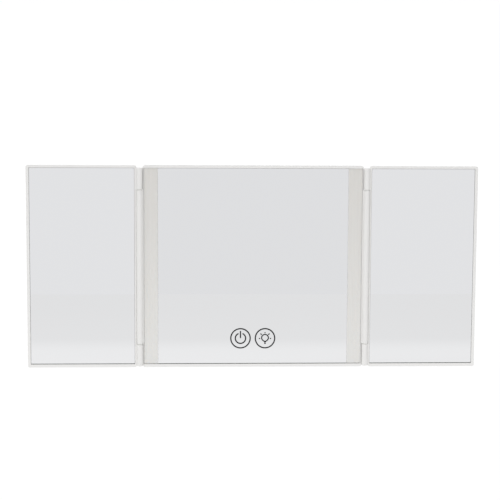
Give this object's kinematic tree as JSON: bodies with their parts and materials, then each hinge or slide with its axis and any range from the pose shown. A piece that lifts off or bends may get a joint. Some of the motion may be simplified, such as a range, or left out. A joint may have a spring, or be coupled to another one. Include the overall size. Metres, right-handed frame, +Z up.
{
  "type": "tri-fold make-up mirror",
  "caption": "Free-standing tri-fold make-up mirror: a lit centre panel with touch controls, hinged mirror wings and a fold-out rear stand.",
  "frame": {"origin": "middle of the bounding box's base, on the table the mirror stands on", "axes": "+X along the width of the open mirror, to the right as its user looks into it; the mirrors face -Y; +Z up"},
  "size_m": [0.5114, 0.1252, 0.2289],
  "materials": {
    "white_abs": "moulded ABS, fine satin texture",
    "silvered_glass": "silvered float glass",
    "opal_acrylic": "frosted opal acrylic",
    "foam_tape": "double-sided foam tape",
    "circuit_board": "white solder mask over glass epoxy",
    "led_package": "yellow phosphor in a white package",
    "flat_cable": "flat flexible cable",
    "conductive_rubber": "carbon-filled silicone",
    "dark_component": "moulded black epoxy",
    "zinc_steel": "zinc-plated steel",
    "pin_steel": "drawn stainless steel",
    "clear_acrylic": "clear acrylic",
    "cell_foil": "aluminium pouch foil",
    "acetal": "natural acetal",
    "white_rubber": "soft white silicone rubber"
  },
  "bodies": {
    "centre": {"battery_cell": "cell_foil", "battery_leads": "flat_cable", "battery_tape": "foam_tape", "board_components": "dark_component", "board_screws": "zinc_steel", "centre_back_cover": "white_abs", "centre_feet": "white_rubber", "centre_frame": "white_abs", "centre_mirror_glass": "silvered_glass", "centre_mirror_tape": "foam_tape", "charge_light_pipe": "clear_acrylic", "control_board": "circuit_board", "cover_screws": "zinc_steel", "hinge_washers": "acetal", "led_board_left": "circuit_board", "led_board_right": "circuit_board", "led_ribbon_left": "flat_cable", "led_ribbon_right": "flat_cable", "leds_left": "led_package", "leds_right": "led_package", "left_hinge_pin_lower": "pin_steel", "left_hinge_pin_upper": "pin_steel", "light_diffuser_left": "opal_acrylic", "light_diffuser_right": "opal_acrylic", "right_hinge_pin_lower": "pin_steel", "right_hinge_pin_upper": "pin_steel", "stand_pin": "pin_steel", "touch_board": "circuit_board", "touch_connector": "dark_component", "touch_pads": "conductive_rubber", "usb_socket": "pin_steel"},
    "left_wing": {"left_wing_back_cover": "white_abs", "left_wing_frame": "white_abs", "left_wing_mirror_glass": "silvered_glass", "left_wing_mirror_tape": "foam_tape"},
    "right_wing": {"right_wing_back_cover": "white_abs", "right_wing_frame": "white_abs", "right_wing_mirror_glass": "silvered_glass", "right_wing_mirror_tape": "foam_tape"},
    "stand": {"stand_foot_pad": "white_rubber", "stand_leg": "white_abs"}
  },
  "joints": [
    {"name": "left_wing_hinge", "type": "hinge", "parent": "centre", "child": "left_wing", "pos_m": [-0.1287, -0.04442, 0.11502], "axis": [0, 0.1305, 0.9914], "range_deg": [0, 180]},
    {"name": "right_wing_hinge", "type": "hinge", "parent": "centre", "child": "right_wing", "pos_m": [0.1287, -0.04442, 0.11502], "axis": [0, -0.1305, -0.9914], "range_deg": [0, 180]},
    {"name": "stand_hinge", "type": "hinge", "parent": "centre", "child": "stand", "pos_m": [0, -0.03923, 0.04877], "axis": [1, 0, 0], "range_deg": [0, 107.08]}
  ]
}
